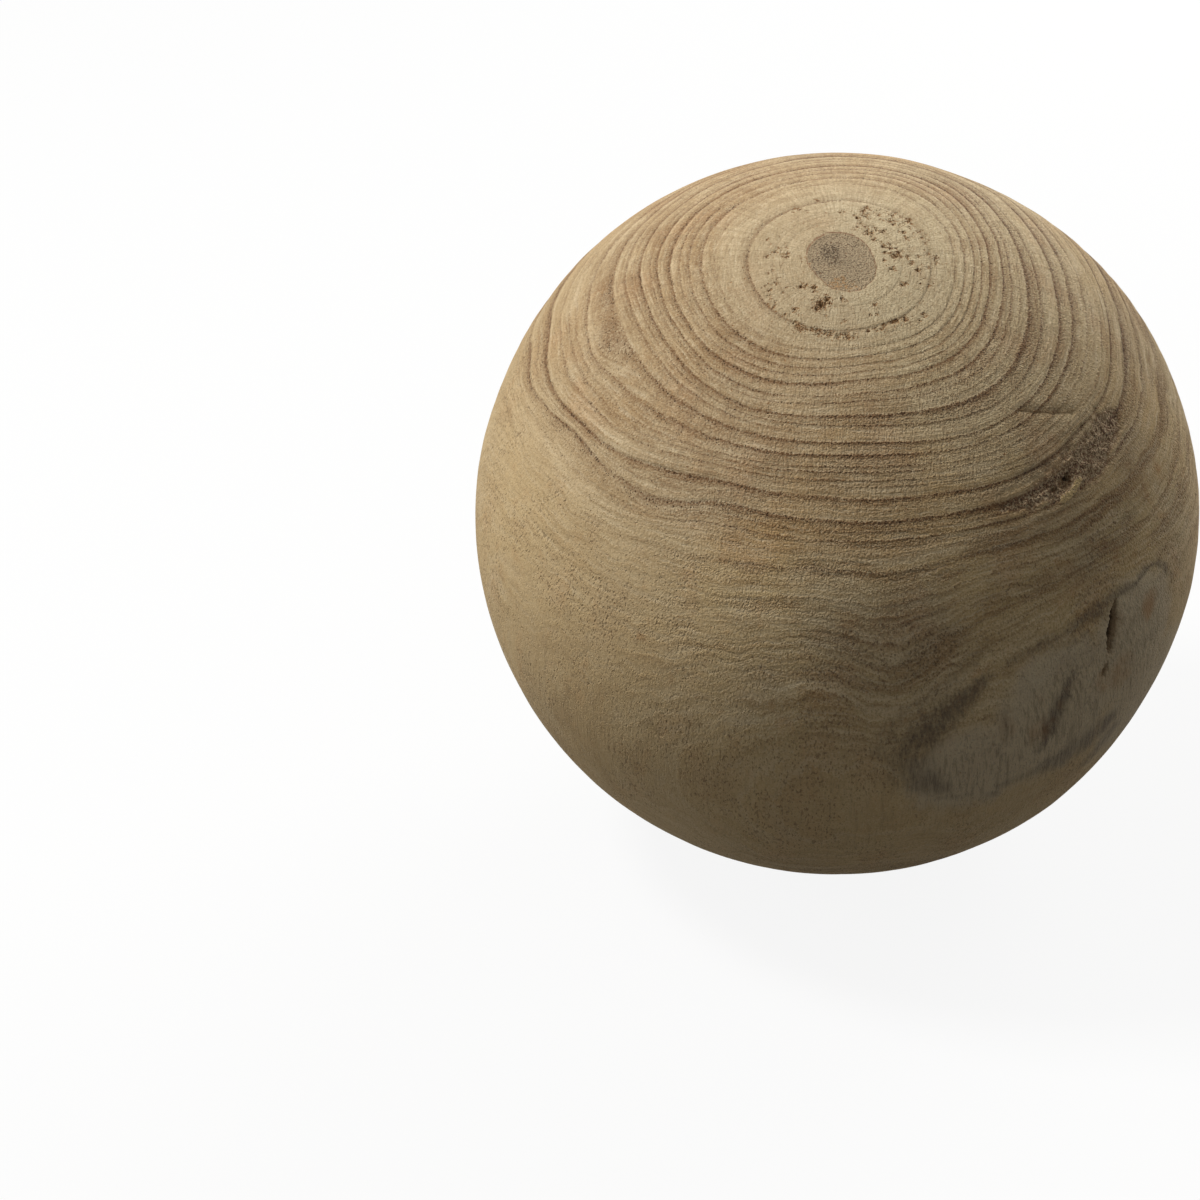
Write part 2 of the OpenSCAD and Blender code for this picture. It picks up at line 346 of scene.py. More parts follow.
# Round the upper pith end the rows follow the rings between these growths, this far apart in mm at
# most and at least. There are so many on the flanks, and wider ones round the lower pith end
FIRST_RING_ROW, LAST_RING_ROW = 8, 52
ROW_STEP, LEAST_STEP = 0.8, 0.3
MIDDLE_ROWS, PLAIN_STEP = 104, 1.25
# Finer faces: the margin in mm round the knot and the open checks, and how often they are halved
KNOT_MARGIN, CHECK_MARGIN, HALVINGS = 2, 0.5, 2
OPEN_CHECKS = CHECKS[:2]
# Torn pores have finer faces too: the distances from the axis that they lie between, the furthest
# one at the left, and the turn up to which that holds
PORES_FROM, PORES_TO, PORES_TO_AT_LEFT, PORES_LEFT = 7.5, 20.5, 16.5, -35


def ring_rows():
    """Growths at which rows of vertices lie: at the edges and floor of each groove, and between."""
    marks = [growth for ring, *_, width in RINGS for growth in (ring - width / 2, ring, ring + width)]
    marks = sorted(growth for growth in marks if FIRST_RING_ROW < growth < LAST_RING_ROW)
    rows = [ROW_STEP * step for step in range(1, int(FIRST_RING_ROW / ROW_STEP))]
    for growth in marks + [LAST_RING_ROW]:
        gap = growth - rows[-1]
        if gap < LEAST_STEP:
            continue
        steps = ceil(gap / ROW_STEP)
        rows += [rows[-1] + gap * step / steps for step in range(1, steps + 1)]
    return rows


def blank():
    """A sphere about the pith, spun from a half circle with close rows where the rings show."""
    leans = [0] + [lean_of(growth) for growth in ring_rows()]
    last = leans[-1]
    leans += [last + (180 - 2 * last) * step / MIDDLE_ROWS for step in range(1, MIDDLE_ROWS)]
    plain = ceil(radians(last) * BALL_R / PLAIN_STEP)
    leans += [180 - last * (plain - step) / plain for step in range(plain + 1)]
    bm = bmesh.new()
    points = [bm.verts.new(from_pith(0, lean) * BALL_R) for lean in leans]
    profile = [bm.edges.new(pair) for pair in zip(points, points[1:])]
    bmesh.ops.spin(bm, geom=points + profile, cent=(0, 0, 0), axis=(0, 0, 1), dvec=(0, 0, 0),
                   angle=tau, steps=SEGMENTS, use_merge=True, use_duplicate=False)
    bmesh.ops.remove_doubles(bm, verts=bm.verts, dist=0.001)
    bmesh.ops.recalc_face_normals(bm, faces=bm.faces)
    return bm


def place_of(co):
    """Turn round the pith and lean from it of a point in the log's frame."""
    turn = degrees(atan2(co.x, -co.y))
    return turn, degrees(atan2(hypot(co.x, co.y), co.z))


def pore_zone(co):
    """Whether pores are torn at a place of the upper pith end."""
    turn, lean = place_of(co)
    furthest = PORES_TO if PORES_LEFT < turn else PORES_TO_AT_LEFT
    return lean < 90 and PORES_FROM < BALL_R * sin(radians(lean)) < furthest


def settle_on_rings(bm):
    """Slides every vertex along the surface until its row lies on one ring all the way round."""
    last = lean_of(LAST_RING_ROW)
    for vert in bm.verts:
        turn, lean = place_of(vert.co)
        growth = BALL_R * sin(radians(min(lean, 180 - lean)))
        if lean > last and 180 - lean > last:
            edge = lean_of(reach_of(turn, LAST_RING_ROW))
            settled = edge + (lean - last) / (180 - 2 * last) * (180 - 2 * edge)
        elif lean > 90:
            settled = 180 - lean_of(reach_of(turn, growth))
        else:
            settled = lean_of(reach_of(turn, growth))
        vert.co = from_pith(turn, settled) * BALL_R


def split_near(bm, spots, rounds):
    """Subdivides the faces that come within a distance in mm of the named directions."""
    for _ in range(rounds):
        chosen = set()
        for face in bm.faces:
            middle = face.calc_center_median().normalized()
            if any(middle.dot(spot) > cos(away / BALL_R) for spot, away in spots):
                chosen.update(face.edges)
        bmesh.ops.subdivide_edges(bm, edges=list(chosen), cuts=1, use_grid_fill=True)
        for vert in bm.verts:
            vert.co = vert.co.normalized() * BALL_R


# ---------------------------------------------------------------- carving the surface

GROOVE_DEPTH = 0.14


def ring_relief(turn, growth):
    """Depth in mm of the grooves, steep on the pith's side, at that turn and growth."""
    sideways = max(-1, min(1, SIDE_SPREAD * sin(radians(turn))))
    depth = 0
    for ring, left, front, right, width in RINGS:
        off = growth - ring
        if -width < off < 2 * width:
            dark = front + (right - front) * max(sideways, 0) + (left - front) * max(-sideways, 0)
            fall = ease(-off, 0, 0.5 * width) if off < 0 else ease(off, 0, 1.2 * width)
            depth = max(depth, GROOVE_DEPTH * dark * (1 - fall))
    return depth


def flat_depth(direction):
    """How deep sanding cut at a direction of the ball's frame."""
    depth = 0
    for turn, height, cut in FLATS:
        facing = direction.dot(side(turn, height))
        off = FLAT_R - (BALL_R - cut)
        reach = sqrt((off * facing) ** 2 + FLAT_R ** 2 - off ** 2) - off * facing
        gain = BALL_R - reach
        depth = max(depth, 0.5 * (gain + sqrt(gain * gain + FLAT_BLEND)) - FLAT_REST)
    return max(depth, 0)


def rows_between(points, steps=6):
    """The points and evenly spaced ones between them, so that a line of them has no gaps."""
    for start, end in zip(points, points[1:]):
        for step in range(steps):
            t = step / steps
            yield tuple(a + (b - a) * t for a, b in zip(start, end))
    yield points[-1]


def spots_field(direction, spots):
    """The strongest of some soft spots at a direction of the ball's frame, from 0 to 1."""
    turn = degrees(atan2(direction.x, -direction.y))
    height = degrees(asin(max(min(direction.z, 1), -1)))
    best = 0
    for at, level, half_w, half_h, roll, strength in spots:
        dx = turn_gap(turn, at) * cos(radians(height))
        dy = height - level
        c, s = cos(radians(roll)), sin(radians(roll))
        away = hypot((dx * c + dy * s) / half_w, (dy * c - dx * s) / half_h)
        best = max(best, strength * (1 - ease(away, 0.4, 1.35)))
    return best


class Surface:
    """The blank's vertices, found by place, and what is noted, cut and raised on each of them."""

    def __init__(self, bm):
        self.layer = {name: bm.verts.layers.float.new(name) for name in MEASURES}
        self.verts = list(bm.verts)
        self.cut = [0.0] * len(self.verts)
        self.torn = [0.0] * len(self.verts)
        self.lift = [0.0] * len(self.verts)
        self.tree = kdtree.KDTree(len(self.verts))
        for index, vert in enumerate(self.verts):
            self.tree.insert(vert.co, index)
        self.tree.balance()

    def near(self, direction, away):
        """Place, number and distance of each vertex within a distance in mm of a direction."""
        return self.tree.find_range(direction * BALL_R, away)

    def note(self, name, index, amount):
        """Notes a measure on a vertex, unless there is more of it already."""
        vert = self.verts[index]
        vert[self.layer[name]] = max(vert[self.layer[name]], amount)

    def paint(self, name, direction, half, strength, core):
        """Adds a soft round touch to a measure, at its full strength over a share of its size."""
        reach = half * 1.4
        for co, index, away in self.near(direction, reach):
            self.note(name, index, strength * (1 - ease(away, half * core, reach)))

    def bite(self, direction, width, depth, raggedness):
        """Cuts a round dish with a ragged edge."""
        for co, index, away in self.near(direction, width * 0.8):
            ragged = 1 + raggedness * noise(co * (3.2 / width))
            fall = 1 - ease(away / (width / 2 * ragged), 0.35, 1.05)
            self.cut[index] = max(self.cut[index], depth * fall)


def paint_stains_and_shade(surface):
    # Dark strokes of dirt, some of them painted shade by the knot and along the scratch; then dark
    # pits and torn fibres in the pith
    for strength, *points in DIRT_AND_SHADE_STROKES:
        for turn, height, half in rows_between(points, 8):
            surface.paint("dirt_and_shade", to_log(side(turn, height)), half, strength, 0.2)
    for name, marks in (("dirt_and_shade", PITH_PITS), ("rust", PITH_FIBRES)):
        for turn, reach, half, strength in marks:
            surface.paint(name, from_pith(turn, lean_of(reach)), half, strength, 0.2)


def tear_pores(surface):
    """Pores torn out of the end grain, one by one and in fields, and the crumbled wood round them."""
    rng = random.Random(4)
    for turn, reach, width in TORN_PORES:
        direction = from_pith(turn, lean_of(reach))
        surface.bite(direction, 0.65 * width, width * PORE_DEPTH_SHARE, 0.9)
        surface.paint("crumbs", direction, 0.85 * width, 0.95, 0)
    for turns, reaches, count, (least, most) in PORE_FIELDS:
        for _ in range(count):
            # Most of them are small
            width = least + (most - least) * rng.random() ** 1.8
            direction = from_pith(rng.uniform(*turns), lean_of(rng.uniform(*reaches)))
            surface.bite(direction, 0.8 * width, width * PORE_DEPTH_SHARE, 0.8)
            surface.paint("crumbs", direction, 1.1 * width, rng.uniform(0.4, 0.9), 0)


def nick(surface):
    for turn, height, width, depth in NICKS:
        surface.bite(to_log(side(turn, height)), width, depth, 0.5)


def tear_knot(surface):
    """The knot's torn floor, its hole and the chip that still stands beside it."""
    for turn, lean, half in rows_between(KNOT_LINE):
        for co, index, away in surface.near(from_pith(turn, lean), half * 1.7):
            edge = half * (1 + 0.45 * noise(co / 2.4) + 0.3 * noise(co))
            surface.note("knot", index, 1 - ease(away, edge * 0.5, edge * 1.25))
    for index, vert in enumerate(surface.verts):
        inside = vert[surface.layer["knot"]]
        if inside > 0:
            rough = 0.4 + 0.4 * noise(vert.co / 2.4) + 0.5 * noise(vert.co / 0.7)
            surface.torn[index] = KNOT_DEPTH * inside * max(rough, 0.05)
    for turn, lean, width, depth in KNOT_HOLES:
        surface.bite(from_pith(turn, lean), width, depth, 0.7)
    for place in rows_between(CHIP_LINE):
        for co, index, away in surface.near(from_pith(*place), CHIP_W):
            jagged = 0.7 + 0.9 * noise(co / 0.9)
            raised = CHIP_LIFT * (1 - ease(away, 0.3, CHIP_W)) * jagged
            surface.lift[index] = max(surface.lift[index], raised)


def split_along_grain(surface):
    """Checks: pointed at both ends, widest below the middle, and a line at their floor."""
    for turn, height, roll, length, width, depth in CHECKS:
        direction = side(turn, height)
        across, along = tangent_frame(direction, roll)
        for co, index, away in surface.near(to_log(direction), length * 0.6):
            t = co.dot(along) / (length / 2)
            if abs(t) < 1:
                wander = 0.6 * noise(Vector((t * 3, turn, 0)))
                wander += 0.12 * noise(Vector((t * 9, turn, 5)))
                ragged = 1 + 0.6 * noise(Vector((t * 6, height, 3)))
                ragged += 0.14 * noise(co / 0.9)
                half = width / 2 * (1 - t * t) * (1 - 0.3 * t) * ragged
                inside = 1 - ease(abs(co.dot(across) - wander) / max(half, 0.05), 0.3, 1.05)
                surface.cut[index] = max(surface.cut[index], depth * inside * (1 - t ** 4))


def scratch(surface):
    start, end, width, depth = SCRATCH
    for turn, lean in rows_between((start, end), 30):
        surface.bite(from_pith(turn, lean), width, depth, 0.2)


def pith_share(direction, turn, reach):
    """0 at the pith's middle and 1 at its rim, which is a little ragged."""
    rim = PITH_R + sum(size * cos(radians(waves * (turn - crest)))
                       for waves, size, crest in PITH_WAVES)
    return reach / (rim + PITH_RAGGED * noise(direction * 40))


def settle(surface):
    """Notes on each vertex what wood lies there, and moves it in by all that was taken off."""
    layer = surface.layer
    for index, vert in enumerate(surface.verts):
        direction = vert.co.normalized()
        in_ball = PITH_AXIS_TURN.to_3x3() @ direction
        turn, lean = place_of(vert.co)
        reach = BALL_R * sin(radians(lean))
        growth = growth_at(turn, reach) if reach > 1 else reach
        pith_reach = pith_share(direction, turn, reach)
        vert[layer["growth"]] = growth
        vert[layer["pith_reach"]] = min(pith_reach, 9)
        # Depth of the cut, which the finish darkens as painted shade, less the chip's rise, which it
        # paints pale, partly as a painted highlight
        vert[layer["cavity"]] = surface.cut[index] - surface.lift[index]
        vert[layer["grey"]] = spots_field(in_ball, GREY_SPOTS)
        surface.note("rust", index, spots_field(in_ball, RUST_SPOTS))
        # Hand sanding leaves the surface a little uneven
        uneven = 0.16 * (noise(direction * 4) + 0.5) + 0.05 * noise(direction * 14)
        sunk = PITH_SINK * (1 - ease(pith_reach, 0.9, 1.04))
        worn = flat_depth(in_ball) + max(uneven, 0) + sunk + ring_relief(turn, growth)
        marks = max(surface.cut[index], surface.torn[index]) - surface.lift[index]
        vert.co = direction * (BALL_R - max(worn + marks, 0))


def carve(bm):
    """Cuts every mark into the blank and notes what the wood's finish reads."""
    surface = Surface(bm)
    for work in (paint_stains_and_shade, tear_pores, nick, tear_knot, split_along_grain, scratch, settle):
        work(surface)


def wooden_ball():
    bm = blank()
    settle_on_rings(bm)
    knot_spots = [(from_pith(turn, lean), 1.2 * half + KNOT_MARGIN)
                  for turn, lean, half in rows_between(KNOT_LINE, 2)]
    check_spots = [(to_log(side(turn, height)), length / 2 + CHECK_MARGIN)
                   for turn, height, roll, length, width, depth in OPEN_CHECKS]
    pores = [face for face in bm.faces if pore_zone(face.calc_center_median())]
    edges = {edge for face in pores for edge in face.edges}
    bmesh.ops.subdivide_edges(bm, edges=list(edges), cuts=1, use_grid_fill=True)
    split_near(bm, knot_spots, HALVINGS)
    split_near(bm, check_spots, HALVINGS)
    carve(bm)
    bmesh.ops.transform(bm, matrix=Matrix.Scale(MM, 4) @ PITH_AXIS_TURN, verts=bm.verts)
    piece = add_mesh("wooden_ball", bm)
    piece.data.shade_smooth()
    return piece


# ---------------------------------------------------------------- finish

def linear(hex_colour):
    """An sRGB hex colour as linear RGBA."""
    parts = [int(hex_colour[at:at + 2], 16) / 255 for at in (1, 3, 5)]
    return [part / 12.92 if part <= 0.04045 else ((part + 0.055) / 1.055) ** 2.4
            for part in parts] + [1]


def put(tree, kind, inputs=(), out=0, stops=(), **settings):
    """Adds a node with its settings and links, and returns the output that is asked for.

    Inputs go by place or by name, and each is a value or the output that feeds it. Stops are
    the places and colours of a ramp.
    """
    node = tree.nodes.new("ShaderNode" + kind)
    for name, value in settings.items():
        setattr(node, name, value)
    for at, (place, colour) in enumerate(stops):
        elements = node.color_ramp.elements
        element = elements[at] if at < 2 else elements.new(place)
        element.position, element.color = place, colour
    for name, value in inputs.items() if isinstance(inputs, dict) else enumerate(inputs):
        if isinstance(value, bpy.types.NodeSocket):
            tree.links.new(value, node.inputs[name])
        else:
            node.inputs[name].default_value = value
    return node.outputs[out] if node.outputs else None


# For a share that starts and ends softly
SOFTLY = {"interpolation_type": "SMOOTHSTEP"}
# The wood's textures: size in mm to the side, to the back and along the pith, detail, roughness
GRAIN = {
    "grit": (0.40, 0.30, 0.46, 1, 0.5),
    "fuzz": (0.44, 0.44, 1.1, 2, 0.5),
    "pricks": (0.42, 0.42, 1.1, 1, 0.5),
    "sanding": (0.36, 2.4, 2.4, 1, 0.5),
    "fibres": (0.6, 0.6, 9, 3, 0.65),
    "splinters": (0.42, 0.42, 0.55, 1, 0.6),
    "blots": (3.6, 3.6, 6.5, 3, 0.6),
    "patches": (11, 11, 20, 2, 0.5),
    "clouds": (26, 26, 42, 2, 0.5),
}
# Textures that follow the rings: how many to a mm of growth, and how many to a radian round the pith
RING_GRAIN = {"hairs": (3.2, 6.5), "streaks": (1.3, 5.5), "bands": (0.42, 1.8), "ledges": (0.38, 2.2)}
RAYS = 0.12, 46
# Open vessels are 0.3 mm across at most; these are spaced and sized so that they show: gap in mm,
# length along the grain as a multiple
VESSELS = {"ring_pores": (0.46, 2.0), "dashes": (0.62, 2.0)}
# A ring's tone over its width, from its sharp inner edge to its soft outer one, and how the left
# side spreads it
RING_TONE = ((-0.2, 0), (0.05, 1), (0.45, 0.5), (1.7, 0))
LEFT_TONE = ((-0.3, 0), (0.05, 0.9), (0.5, 0.5), (1.8, 0))
# A ramp holds 32 stops at most, which four rings can fill
RINGS_A_RAMP = 4
# How ragged the rings are in mm, and how far they wander on the flanks with blots and patches
RAGGED, WANDER = 0.4, {"blots": 1.1, "patches": 2.4}

# Heights along the pith at which end grain starts, and at which there is nothing else
END_GRAIN = 0.4 * BALL_R, 0.85 * BALL_R
# How much later in its growth the wood turns warm at the right and at the left, in mm
WARM_LATER_RIGHT, WARM_LATER_LEFT = 10, 40
# It stayed smooth low down: the heights along the pith in mm where that starts and where it is full
SMOOTH_BELOW = (30, 6)
# Sanding tore the open grain: the growths where that starts and where it is full, where it ends and
# where it is still full, and where ledges start and are full
TORN_FROM, TORN_UNTIL, LEDGES_FROM = (24, 34), (74, 66), (50, 55)

# What lies on the bare wood, with painted shade and a painted highlight among it, from the first coat
# to the last: what it follows, where on that it starts and where it is full, its share there, and its
# colour
BARE_WOOD = "#d3c09b"
COATS = (
    ("growth", 12, 27, 1, "#cdb085"),
    ("warm", 25, 36, 0.8, "#d1a970"),
    ("left_end", 0, 1, 0.6, "#bd9e74"),
    ("right_end", 0, 1, 0.4, "#dccda2"),
    ("growth", 50, 60, 1, "#d6ba88"),
    ("clouds", 0.42, 0.62, 0.5, "#c6b08a"),
    ("patches", 0.52, 0.75, 0.4, "#cb9e72"),
    ("flank_blots", 0.02, 0.2, 0.4, "#c6935f"),
    ("flank_blots", -0.02, -0.2, 0.3, "#b1a084"),
    ("bands", 0.5, 0.68, 0.28, "#a27b4a"),
    ("bands", 0.5, 0.32, 0.3, "#eed7ae"),
    ("ledges", 0, 1, 0.46, "#a8835a"),
    ("streaks", 0.5, 0.72, 0.34, "#8e6c44"),
    ("streaks", 0.5, 0.3, 0.36, "#ecd7ae"),
    ("hairs", 0.5, 0.72, 0.46, "#83643e"),
    ("hairs", 0.5, 0.3, 0.36, "#f0deba"),
    ("grit", 0.5, 0.25, 0.32, "#f2e1be"),
    ("grit", 0.5, 0.75, 0.4, "#80623e"),
    ("worn", 0, 1, 0.5, "#c9ad80"),
    ("growth", 24, 14, 0.4, "#d0bd98"),
    ("rays", 0.35, 0.7, 0.36, "#9c8160"),
    ("scratches", 0.5, 0.75, 0.42, "#a58f6c"),
    ("dotted_lines", 0, 1.12, 0.86, "#765333"),
    ("ring_pores", 0, 1, 0.8, "#4a311c"),
    ("dashes", 0, 1, 0.25, "#6a4d2f"),
    ("pricked", 0, 1, 0.52, "#6c5135"),
    ("greyed", 0.25, 0.8, 0.52, "#cfc1a6"),
    ("fibres", 0.5, 0.7, 0.26, "#8a765b"),
    ("grey_streak", 0.42, 0.6, 0.38, "#82735b"),
    # Dark smudges of dirt, and painted shade by the knot and along the scratch
    ("smudges_and_shade", 0.05, 1.25, 0.76, "#483c33"),
    ("rusty", 0.3, 1.1, 0.6, "#a0703f"),
    ("pith_reach", 1.0, 0.96, 0.85, "#b49e7e"),
    ("pith_grains", 0.45, 0.7, 0.7, "#64513a"),
    ("pith_dirt", 0.6, 1.3, 0.8, "#423323"),
    ("rim", -0.015, -0.05, 0.7, "#83583c"),
    ("pith_fibres", 0.5, 1.3, 0.7, "#b08656"),
    ("rough_knot", 0.1, 1.1, 0.55, "#a17b5f"),
    ("torn_knot", 1.0, 1.7, 0.7, "#3c2b22"),
    ("pale_knot", 0.85, 1.3, 0.85, "#e4caa3"),
    ("crumbled", 0.45, 0.9, 0.68, "#9a6836"),
    ("crumbled", 0.85, 1.3, 0.9, "#432d19"),
    # Painted shade in the hollows: every cut is darkened by its depth, to near black in the deepest
    ("cavity", 0.1, 0.6, 0.45, "#74522c"),
    ("cavity", 0.9, 2.0, 0.8, "#33251a"),
    # The chip's pale face: pale torn wood, partly a painted highlight
    ("chip", -0.14, -0.46, 1, "#e6c78f"),
)
# Relief in mm: the fine roughness, how strong it is on plain wood, how much less where worn, more
# where grey and more where broken, and what is added to it
FINE_RELIEF = (("grit", 0.15), ("fuzz", 0.12), ("pricked", -0.08))
PLAIN, WORN_LESS, GREY_MORE, BROKEN_MORE = 0.62, 0.27, 0.6, 2.6
RELIEF = (
    ("lines", -0.14), ("ring_pores", -0.2), ("dashes", -0.1), ("hairs", 0.12), ("streaks", 0.22),
    ("ledges", -0.5), ("scratches", 0.14), ("fibres", 0.1), ("rays", 0.1), ("pith_grains", 0.3),
    ("hollows", -0.3), ("knot_floor", 1.2),
)


def tone_of(off, profile):
    """Tone from 0 to 1 at a place across a ring."""
    for (near, first), (far, last) in zip(profile, profile[1:]):
        if near <= off <= far:
            return first + (last - first) * (off - near) / (far - near)
    return 0


def ring_tone(growth, rings):
    """Tone at the left, the front and the right, each from the ring that is darkest there."""
    tone = [0, 0, 0]
    for ring, *sides, width in rings:
        off = (growth - ring) / width
        for at, profile in enumerate((LEFT_TONE, RING_TONE, RING_TONE)):
            tone[at] = max(tone[at], sides[at] * tone_of(off, profile))
    return tone + [1]


def ring_stops(rings):
    """Where a few rings start and end, and their tones as the stops of one ramp."""
    places = sorted({round(ring + off * width, 3) for ring, *sides, width in rings
                     for off, share in LEFT_TONE + RING_TONE})
    start, end = places[0], places[-1]
    return start, end, [((place - start) / (end - start), ring_tone(place, rings))
                        for place in places]


def solid_grain(tree, wood):
    """The log's frame in millimetres, with +Z up the pith, and the textures that fill it."""
    coords = put(tree, "TexCoord", out="Object")
    wood["log"] = put(tree, "Mapping", {"Vector": coords, "Scale": (1 / MM,) * 3,
                                        "Rotation": (-radians(PITH_LEAN), 0, 0)})
    for name, (*size, detail, rough) in GRAIN.items():
        place = put(tree, "VectorMath", (wood["log"], size), operation="DIVIDE")
        wood[name] = put(tree, "TexNoise", {"Vector": place, "Scale": 1, "Detail": detail,
                                            "Roughness": rough})
    wood["blot"] = put(tree, "Math", (wood["blots"], 0.8, -0.4), operation="MULTIPLY_ADD")
    wood["rough"] = put(tree, "Math", (wood["splinters"], 0.5), operation="SUBTRACT")


def lie_of_the_grain(tree, wood):
    """How much a place shows end grain or flank, and how far round the pith it lies to each side."""
    height = put(tree, "SeparateXYZ", (wood["log"],), 2)
    steep = put(tree, "Math", (height,), operation="ABSOLUTE")
    end_grain = put(tree, "MapRange", (steep, *END_GRAIN), **SOFTLY)
    flank = put(tree, "Math", (1.0, end_grain), operation="SUBTRACT")
    flat = put(tree, "VectorMath", (wood["log"], (1, 1, 0)), operation="MULTIPLY")
    wood["out"] = put(tree, "VectorMath", (flat,), operation="NORMALIZE")
    sideways = put(tree, "SeparateXYZ", (wood["out"],))
    right = put(tree, "Math", (sideways, SIDE_SPREAD), operation="MULTIPLY", use_clamp=True)
    left = put(tree, "Math", (sideways, -SIDE_SPREAD), operation="MULTIPLY", use_clamp=True)
    aside = put(tree, "Math", (left, right), operation="ADD")
    ahead = put(tree, "Math", (1.0, aside), operation="SUBTRACT")
    wood["shares"] = put(tree, "CombineXYZ", (left, ahead, right))
    wood["left_end"] = put(tree, "Math", (left, end_grain), operation="MULTIPLY")
    wood["right_end"] = put(tree, "Math", (right, end_grain), operation="MULTIPLY")
    warm = put(tree, "Math", (right, -WARM_LATER_RIGHT, wood["growth"]), operation="MULTIPLY_ADD")
    wood["warm"] = put(tree, "Math", (left, -WARM_LATER_LEFT, warm), operation="MULTIPLY_ADD")
    low = put(tree, "MapRange", (height, *SMOOTH_BELOW))
    # The left flank is smooth too
    worn = put(tree, "Math", (left, flank), operation="MULTIPLY")
    wood["worn"] = put(tree, "Math", (worn, low), operation="MAXIMUM")
    wood.update(end_grain=end_grain, flank=flank, left=left)


def along_rings(tree, wood, growth, to_a_mm, to_a_radian):
    """Where a texture that follows the rings is read."""
    step = put(tree, "Math", (growth, to_a_mm), operation="MULTIPLY")
    step = put(tree, "CombineXYZ", {2: step})
    return put(tree, "VectorMath", (wood["out"], (to_a_radian, to_a_radian, 0), step),
               operation="MULTIPLY_ADD")


def ring_grain(tree, wood):
    """Growth that is a little ragged, and wavy on the flanks, and the textures that follow it."""
    ragged = put(tree, "Math", (wood["grit"], RAGGED, -RAGGED / 2), operation="MULTIPLY_ADD")
    for name, size in WANDER.items():
        wander = put(tree, "Math", (wood[name], 0.5), operation="SUBTRACT")
        wander = put(tree, "Math", (wander, wood["flank"]), operation="MULTIPLY")
        ragged = put(tree, "Math", (wander, size, ragged), operation="MULTIPLY_ADD")
    wood["grown"] = put(tree, "Math", (wood["growth"], ragged), operation="ADD")
    for name, counts in RING_GRAIN.items():
        place = along_rings(tree, wood, wood["grown"], *counts)
        wood[name] = put(tree, "TexNoise", {"Vector": place, "Scale": 1, "Detail": 3,
                                            "Roughness": 0.6})


def ring_lines(tree, wood):
    """The dark line of each ring, in its own tone at the left, the front and the right."""
    lines = 0.0
    for first in range(0, len(RINGS), RINGS_A_RAMP):
        start, end, stops = ring_stops(RINGS[first:first + RINGS_A_RAMP])
        place = put(tree, "MapRange", (wood["grown"], start, end))
        tones = put(tree, "ValToRGB", (place,), stops=stops)
        tone = put(tree, "VectorMath", (tones, wood["shares"]), 1, operation="DOT_PRODUCT")
        lines = put(tree, "Math", (tone, lines), operation="MAXIMUM")
    uneven = put(tree, "MapRange", (wood["patches"], 0.3, 0.6, 0.65, 1.05))
    wood["lines"] = put(tree, "Math", (lines, uneven), operation="MULTIPLY")
    crumbly = put(tree, "MapRange", (wood["grit"], 0.3, 0.68, 0.65, 1.35))
    wood["dotted_lines"] = put(tree, "Math", (wood["lines"], crumbly), operation="MULTIPLY")


def open_vessels(tree, wood):
    """Vessels, crowded in the rings and cut along as loose dashes on the flanks, and pricks there."""
    loose = put(tree, "MapRange", (wood["patches"], 0.4, 0.6, 0.2, 0.75))
    loose = put(tree, "Math", (loose, wood["flank"]), operation="MULTIPLY")
    scattered = put(tree, "Math", (wood["lines"], 0.5, loose), operation="MULTIPLY_ADD")
    for name, crowding in (("ring_pores", wood["lines"]), ("dashes", scattered)):
        gap, length = VESSELS[name]
        place = put(tree, "VectorMath", (wood["log"], (1 / gap, 1 / gap, 1 / gap / length)),
                    operation="MULTIPLY")
        away = put(tree, "TexVoronoi", {"Vector": place, "Scale": 1, "Randomness": 1})
        chance = put(tree, "MapRange", (away.node.outputs["Color"], 0.2, 0.8, -0.05, 0.5))
        bore = put(tree, "Math", (chance, crowding), operation="MULTIPLY")
        open_part = put(tree, "Math", (bore, away), operation="SUBTRACT")
        wood[name] = put(tree, "MapRange", (open_part, -0.14, 0.08), **SOFTLY)
    pricked = put(tree, "MapRange", (wood["pricks"], 0.58, 0.7), **SOFTLY)
    crowded = put(tree, "Math", (loose, 1.7), operation="MULTIPLY")
    wood["pricked"] = put(tree, "Math", (pricked, crowded), operation="MULTIPLY")


def rays_and_scratches(tree, wood):
    """Hairlines that run out from the pith, and fine scratches from sanding, on the end grain."""
    place = along_rings(tree, wood, wood["growth"], *RAYS)
    rays = put(tree, "TexNoise", {"Vector": place, "Scale": 1, "Detail": 2})
    wood["rays"] = put(tree, "Math", (rays, wood["end_grain"]), operation="MULTIPLY")
    wood["scratches"] = put(tree, "Math", (wood["sanding"], wood["end_grain"]), operation="MULTIPLY")


def soak_in_stains_and_shade(tree, wood):
    """Grey, dirt and rust, which soaked in along the fibres and in blots; some of the dirt is painted
    shade.
    """
    streak = put(tree, "Math", (wood["fibres"], 0.5), operation="SUBTRACT")
    smear = put(tree, "Math", (streak, 1.8, 1.0), operation="MULTIPLY_ADD")
    smear = put(tree, "Math", (wood["blot"], 1.4, smear), operation="MULTIPLY_ADD")
    # Dark smudges: dirt, and painted shade by the knot and along the scratch
    wood["smudges_and_shade"] = put(tree, "Math", (smear, wood["dirt_and_shade"]), operation="MULTIPLY")
    wood["rusty"] = put(tree, "Math", (wood["rust"], wood["blot"]), operation="ADD")
    wood["greyed"] = put(tree, "Math", (wood["grey"], wood["blot"]), operation="ADD")
    wood["grey_streak"] = put(tree, "Math", (wood["fibres"], wood["grey"]), operation="MULTIPLY")
    wood["flank_blots"] = put(tree, "Math", (wood["blot"], wood["flank"]), operation="MULTIPLY")


